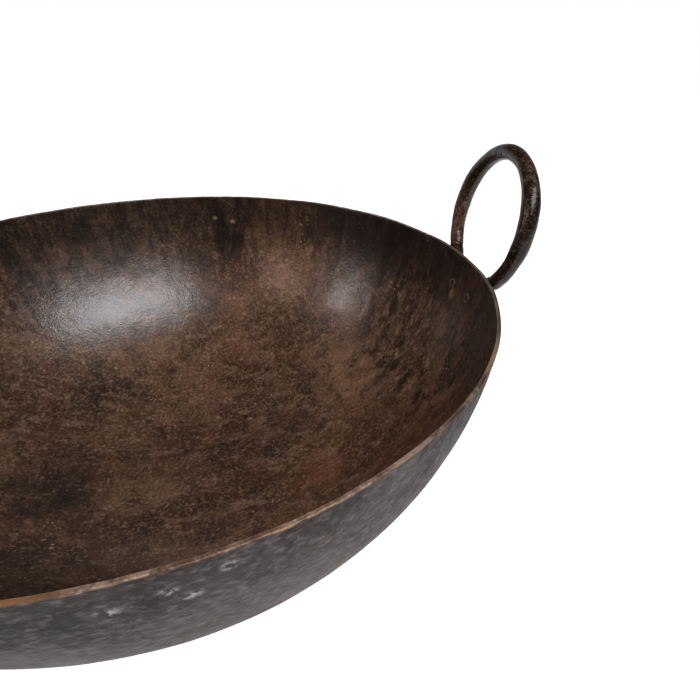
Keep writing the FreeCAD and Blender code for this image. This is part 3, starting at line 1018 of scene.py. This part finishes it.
    def hammered(self, inside: bpy.types.Material, outside: bpy.types.Material) -> ShapeTree:
        """Make the tree that works the wall: slow waves, hammer marks and a worn rim.

        Args:
            inside: Material of the inner face.
            outside: Material of the outer face.

        Returns:
            The tree.
        """
        made = ShapeTree("hammered_wall", {
            "Wave size": self.wave_size, "Wave depth": self.wave_depth,
            "Mark size": self.mark_size, "Mark depth": self.mark_depth,
            "Rim size": self.rim_wave, "Rim depth": self.rim_depth,
            "Nick size": self.nick_size, "Nick depth": self.nick_depth,
            "Seed": self.seed, "Inside": inside, "Outside": outside})
        shifts = []
        for way, slow, fine in (
                ("inwards", made.dents("Wave", 0.0), made.dents("Mark", 9.0)),
                ("down", made.dents("Rim", 20.0), made.dents("Nick", 30.0, 3.0))):
            depth = made.add("ShaderNodeMath", {0: slow, 1: fine}, operation="ADD")
            along = made.add("GeometryNodeInputNamedAttribute", {
                "Name": way}, data_type="FLOAT_VECTOR")
            shifts.append(made.add("ShaderNodeVectorMath", {
                0: along, 3: depth}, operation="SCALE"))
        moved = made.add("ShaderNodeVectorMath", dict(enumerate(shifts)), operation="ADD")
        shape = made.add("GeometryNodeSetPosition", {
            "Geometry": made.given["Geometry"], "Offset": moved})
        inner = made.add("GeometryNodeInputNamedAttribute", {"Name": "inside"}, data_type="FLOAT")
        made.end(shape, (made.given["Outside"], True), (made.given["Inside"], inner))
        return made

    def build(self) -> None:
        """Make and dress the bowl."""
        wall = placed_in_scene("bowl_wall", self.smooth_mesh())
        self.hammered(SEASONED_INSIDE.material(), SMOKED_OUTSIDE.material()).apply(wall)
        dress(wall, "seasoned_sheet_iron", "bowl")


@dataclass
class LoopHandle:
    """A loop handle forged from round bar: a little thicker in the legs, with small flats."""

    side: str
    voxel: float = 0.0007
    flat_size: float = 0.011
    flat_depth: float = 0.0003
    bend_size: float = 0.045
    bend_depth: float = 0.0002
    swell: float = 0.0007
    swell_rise: tuple[float, float] = (0.200, 0.220)
    swell_fall: tuple[float, float] = (0.266, 0.246)
    seed: int = 2

    def forged(self, iron: bpy.types.Material) -> ShapeTree:
        """Make the tree that leaves the hammer's flats on the bar.

        Args:
            iron: Material of the bar.

        Returns:
            The tree.
        """
        made = ShapeTree("forged_bar", {
            "Flat size": self.flat_size, "Flat depth": self.flat_depth,
            "Bend size": self.bend_size, "Bend depth": self.bend_depth,
            "Swell": self.swell, "Seed": self.seed, "Iron": iron})
        dents = made.add("ShaderNodeMath", {
            0: made.dents("Flat", 0.0), 1: made.dents("Bend", 5.0)}, operation="ADD")
        place = made.add("GeometryNodeInputPosition")
        height = made.add("ShaderNodeSeparateXYZ", {0: place}).outputs[2]
        rise, fall = (made.add("ShaderNodeMapRange", {
            0: height, 1: low, 2: high, 4: most}, interpolation_type="SMOOTHSTEP")
                      for (low, high), most in ((self.swell_rise, made.given["Swell"]),
                                                (self.swell_fall, 1.0)))
        swell = made.add("ShaderNodeMath", {0: rise, 1: fall}, operation="MULTIPLY")
        outwards = made.add("ShaderNodeMath", {0: swell, 1: dents}, operation="SUBTRACT")
        made.end(made.moved_out(made.given["Geometry"], outwards), (made.given["Iron"], True))
        return made

    def build(self, iron: bpy.types.Material) -> None:
        """Make and dress the handle.

        Args:
            iron: Material of the bar.
        """
        node = f"handle_{self.side}"
        bar = merged_copy(node, f"loop_handle_{self.side}")
        grid = bar.modifiers.new("even_mesh", "REMESH")
        grid.mode = "VOXEL"
        grid.voxel_size = self.voxel
        made_plain(bar)
        self.forged(iron).apply(bar)
        dress(bar, "forged_bar_iron", node)


@dataclass
class RivetSet:
    """The four rivets, one shape headed over by hand and set in four places."""

    frames: list[Matrix]
    dent_size: float = 0.004
    dent_depth: float = 0.0002
    seed: int = 5

    SOURCE = "rivet_right_back"
    NODES = ("rivet_right_back", "rivet_right_front", "rivet_left_back", "rivet_left_front")

    def one_rivet(self) -> bpy.types.Object:
        """Bring one rivet to the origin.

        Returns:
            The rivet, with each point's distance from its axis.
        """
        rivet = merged_copy(self.SOURCE, "one_rivet")
        rivet.data.transform(self.frames[0].inverted())
        away = rivet.data.attributes.new(FROM_AXIS, "FLOAT", "POINT")
        away.data.foreach_set("value", [v.co.yz.length / MM for v in rivet.data.vertices])
        return rivet

    def places(self) -> bpy.types.Object:
        """Mark the places of the rivets.

        Returns:
            One point for each, with the way that its axis points.
        """
        mesh = bpy.data.meshes.new("rivets")
        mesh.from_pydata([m.translation for m in self.frames], [], [])
        axes = mesh.attributes.new("axis", "FLOAT_VECTOR", "POINT")
        axes.data.foreach_set("vector", [c for m in self.frames for c in m.col[0].xyz])
        return placed_in_scene("rivets", mesh)

    def repeated(self, rivet: bpy.types.Object, iron: bpy.types.Material) -> ShapeTree:
        """Make the tree that dents the rivet and sets it, turned at random, in each place.

        Args:
            rivet: The one rivet at the origin.
            iron: Its material.

        Returns:
            The tree.
        """
        made = ShapeTree("set_rivets", {
            "Dent size": self.dent_size, "Dent depth": self.dent_depth,
            "Seed": self.seed, "Rivet": rivet, "Iron": iron})
        source = made.add("GeometryNodeObjectInfo", {"Object": made.given["Rivet"]})
        inwards = made.add("ShaderNodeMath", {
            0: 0.0, 1: made.dents("Dent", 0.0)}, operation="SUBTRACT")
        dented = made.moved_out(source.outputs["Geometry"], inwards)
        axis = made.add("GeometryNodeInputNamedAttribute", {
            "Name": "axis"}, data_type="FLOAT_VECTOR")
        along = made.add("FunctionNodeAlignRotationToVector", {"Vector": axis}, axis="X")
        spin = made.add("FunctionNodeRandomValue", {
            2: 0.0, 3: 2 * math.pi, "Seed": made.given["Seed"]}, data_type="FLOAT")
        about = made.add("FunctionNodeAxisAngleToRotation", {
            "Axis": (1.0, 0.0, 0.0), "Angle": spin.outputs[1]})
        turned = made.add("FunctionNodeRotateRotation", {
            0: along, 1: about}, rotation_space="LOCAL")
        copies = made.add("GeometryNodeInstanceOnPoints", {
            "Points": made.given["Geometry"], "Instance": dented, "Rotation": turned})
        made.end(copies, (made.given["Iron"], True))
        return made

    def build(self, iron: bpy.types.Material) -> None:
        """Make and dress the rivets.

        Args:
            iron: Their material.
        """
        rivet = self.one_rivet()
        rivets = self.repeated(rivet, iron).apply(self.places())
        bpy.data.objects.remove(rivet)
        dress(rivets, "rivet_iron", *self.NODES)


# The studio.


@dataclass(frozen=True)
class Lamp:
    """Rectangular soft box that looks at the bowl.

    Attributes:
        name: Name of the lamp.
        heading_deg: Where it stands, counter-clockwise from +X.
        rise_deg: How high it stands, seen from the bowl.
        distance: How far away.
        width: Its width.
        height: Its height.
        power: In watts.
        colour: sRGB hex value.
    """

    name: str
    heading_deg: float
    rise_deg: float
    distance: float
    width: float
    height: float
    power: float
    colour: str = "#FFFFFF"

    AIM = Vector((0.0, 0.0, 0.10))

    def build(self) -> None:
        """Place the lamp."""
        light = bpy.data.lights.new(self.name, "AREA")
        light.shape, light.size, light.size_y = "RECTANGLE", self.width, self.height
        light.energy, light.color = self.power, linear(self.colour)[:3]
        lamp = bpy.data.objects.new(self.name, light)
        heading, rise = math.radians(self.heading_deg), math.radians(self.rise_deg)
        away = Vector((math.cos(heading) * math.cos(rise), math.sin(heading) * math.cos(rise),
                       math.sin(rise)))
        lamp.location = self.AIM + self.distance * away
        lamp.rotation_euler = away.to_track_quat("Z", "Y").to_euler()
        lamp.visible_camera = False
        bpy.context.scene.collection.objects.link(lamp)


@dataclass
class Studio:
    """White floor and backdrop in a dim room, with soft lamps.

    The iron mirrors the backdrop, which fades into the room to the sides and upwards.
    """

    floor_size: float = 12.0
    floor_colour: str = "#D8D8D8"
    floor_lift: float = 0.75
    fill: float = 0.36
    room: float = 0.04
    backdrop_heading_deg: float = 80.0
    backdrop_edge: tuple[float, float] = (0.35, 0.65)
    lamps: tuple[Lamp, ...] = (
        Lamp("main_lamp", -61.0, 54.0, 1.5, 1.15, 0.48, 20.5, "#F8FAFF"),
        Lamp("side_lamp", 174.0, 25.0, 1.6, 0.12, 0.28, 2.7),
        Lamp("warm_panel", -151.0, 34.0, 1.6, 0.28, 0.34, 5.2, "#D8B098"),
    )

    BACKDROP_FALL = -1.6

    def seen(self, tree: Tree) -> Link:
        """Tell the rays that see the background from the others.

        Args:
            tree: Tree of the material or the world.

        Returns:
            What gives 1 for camera, glossy and transmission rays.
        """
        path = add_node(tree, "ShaderNodeLightPath").outputs
        seen = path["Is Camera Ray"]
        for ray in ("Is Glossy Ray", "Is Transmission Ray"):
            seen = add_node(tree, "ShaderNodeMath", {0: seen, 1: path[ray]}, operation="MAXIMUM")
        return seen

    def build_floor(self) -> None:
        """Lay the floor: pale, lifted to white for the eye, and still shaded by the bowl."""
        half = self.floor_size / 2
        mesh = bpy.data.meshes.new("floor")
        mesh.from_pydata([(-half, -half, 0), (half, -half, 0), (half, half, 0), (-half, half, 0)],
                         [], [(0, 1, 2, 3)])
        floor = placed_in_scene("floor", mesh)
        paint = bpy.data.materials.new("pale_floor_paint")
        paint.use_nodes = True
        tree = paint.node_tree
        tree.nodes.clear()
        matt = add_node(tree, "ShaderNodeBsdfDiffuse", {"Color": linear(self.floor_colour)})
        lift = add_node(tree, "ShaderNodeMath", {
            0: self.seen(tree), 1: self.floor_lift}, operation="MULTIPLY")
        glow = add_node(tree, "ShaderNodeEmission", {"Strength": lift})
        both = add_node(tree, "ShaderNodeAddShader", {0: matt, 1: glow})
        add_node(tree, "ShaderNodeOutputMaterial", {"Surface": both})
        mesh.materials.append(paint)

    def build_world(self) -> None:
        """Make the world: white to the eye, and a backdrop in a dim room to the iron."""
        world = bpy.data.worlds.new("studio")
        world.use_nodes = True
        tree = world.node_tree
        tree.nodes.clear()
        heading = math.radians(self.backdrop_heading_deg)
        way = add_node(tree, "ShaderNodeTexCoord").outputs["Generated"]
        back = add_node(tree, "ShaderNodeVectorMath", {
            0: way, 1: (math.cos(heading), math.sin(heading), self.BACKDROP_FALL)},
                        operation="DOT_PRODUCT").outputs["Value"]
        low, high = self.backdrop_edge
        around = add_node(tree, "ShaderNodeMapRange", {
            0: back, 1: low, 2: high, 3: self.room, 4: 1.0})
        straight = add_node(tree, "ShaderNodeLightPath").outputs["Is Camera Ray"]
        shown = add_node(tree, "ShaderNodeMix", {0: straight, 2: around, 3: 1.0})
        strength = add_node(tree, "ShaderNodeMix", {0: self.seen(tree), 2: self.fill, 3: shown})
        light = add_node(tree, "ShaderNodeBackground", {
            "Color": linear("#FFFFFF"), "Strength": strength})
        add_node(tree, "ShaderNodeOutputWorld", {"Surface": light})
        bpy.context.scene.world = world

    def build(self) -> None:
        """Set up the floor, the world and the lamps."""
        self.build_floor()
        self.build_world()
        for lamp in self.lamps:
            lamp.build()
            LOG.info("%s at %.1f m", lamp.name, lamp.distance)


@dataclass
class PictureCamera:
    """Camera at the picture's place, over the rim and close to the bowl."""

    place: tuple[float, float, float] = (0.07915, -0.35940, 0.33565)
    heading_deg: float = 78.87
    tilt_deg: float = 31.12
    roll_deg: float = 0.42
    lens_mm: float = 25.81
    sensor_mm: float = 36.0

    def build(self) -> None:
        """Place the camera and make it the scene's."""
        data = bpy.data.cameras.new("picture_camera")
        data.lens, data.sensor_width = self.lens_mm, self.sensor_mm
        data.clip_start = 10 * MM
        camera = bpy.data.objects.new("picture_camera", data)
        camera.matrix_world = (Matrix.Translation(self.place)
                               @ Matrix.Rotation(math.radians(self.heading_deg - 90), 4, "Z")
                               @ Matrix.Rotation(math.radians(90 - self.tilt_deg), 4, "X")
                               @ Matrix.Rotation(math.radians(self.roll_deg), 4, "Z"))
        bpy.context.scene.collection.objects.link(camera)
        bpy.context.scene.camera = camera


def main() -> None:
    """Build the kadai and its studio."""
    logging.basicConfig(level=logging.INFO, format="%(name)s: %(message)s")
    bpy.context.scene.view_settings.view_transform = "Standard"
    wall = BowlWall()
    wall.build()
    bar_iron, rivet_iron = FORGED_BAR.material(), RIVET_IRON.material()
    for side in ("right", "left"):
        LoopHandle(side).build(bar_iron)
    RivetSet(wall.rivet_frames()).build(rivet_iron)
    Studio().build()
    PictureCamera().build()


if __name__ == "__main__":
    main()
